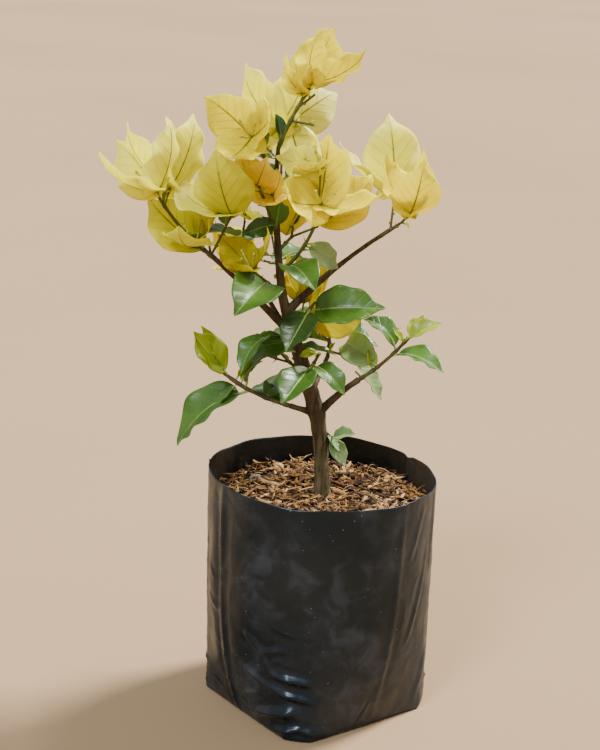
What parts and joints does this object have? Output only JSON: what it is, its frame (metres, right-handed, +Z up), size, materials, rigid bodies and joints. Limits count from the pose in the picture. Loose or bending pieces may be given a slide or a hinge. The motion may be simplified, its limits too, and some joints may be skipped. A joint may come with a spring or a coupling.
{
  "type": "potted bougainvillea",
  "caption": "Young yellow-flowered bougainvillea with a leaning woody trunk, forking boughs, twigs with leaves and papery bracts, growing in a black nursery bag of coir.",
  "frame": {"origin": "middle of the bag's flat underside, at ground level", "axes": "+Z up along the plant's height, +X to the right and +Y away as seen from the front"},
  "size_m": [0.2244, 0.1813, 0.4496],
  "materials": {
    "bag": "satin black film",
    "soil": "rough loose chips",
    "bark": "rough bark",
    "young_bark": "smooth young bark",
    "leaves": "soft satin leaf",
    "bracts": "papery, thin"
  },
  "bodies": {
    "root": {"bag": "bag", "soil": "soil", "trunk": "bark", "bough_low_left": "young_bark", "bough_low_right": "young_bark", "bough_left": "young_bark", "bough_right": "young_bark", "bough_back_right": "young_bark", "bough_back_left": "young_bark", "crown_tip": "bracts", "crown_left": "bracts", "flowers_left": "bracts", "centre_left": "bracts", "centre_right": "bracts", "flowers_right_mid": "bracts", "flowers_right": "bracts", "left_tuft": "bracts", "shoot_right": "bracts", "mid_left_twig": "leaves", "low_left_twig": "leaves", "low_right_twig": "leaves", "low_shoot": "leaves", "foot_shoot": "leaves", "crown_back": "bracts", "centre_back": "bracts", "back_left_twig": "bracts", "back_right_twig": "leaves", "back_shoot": "leaves"}
  },
  "joints": []
}
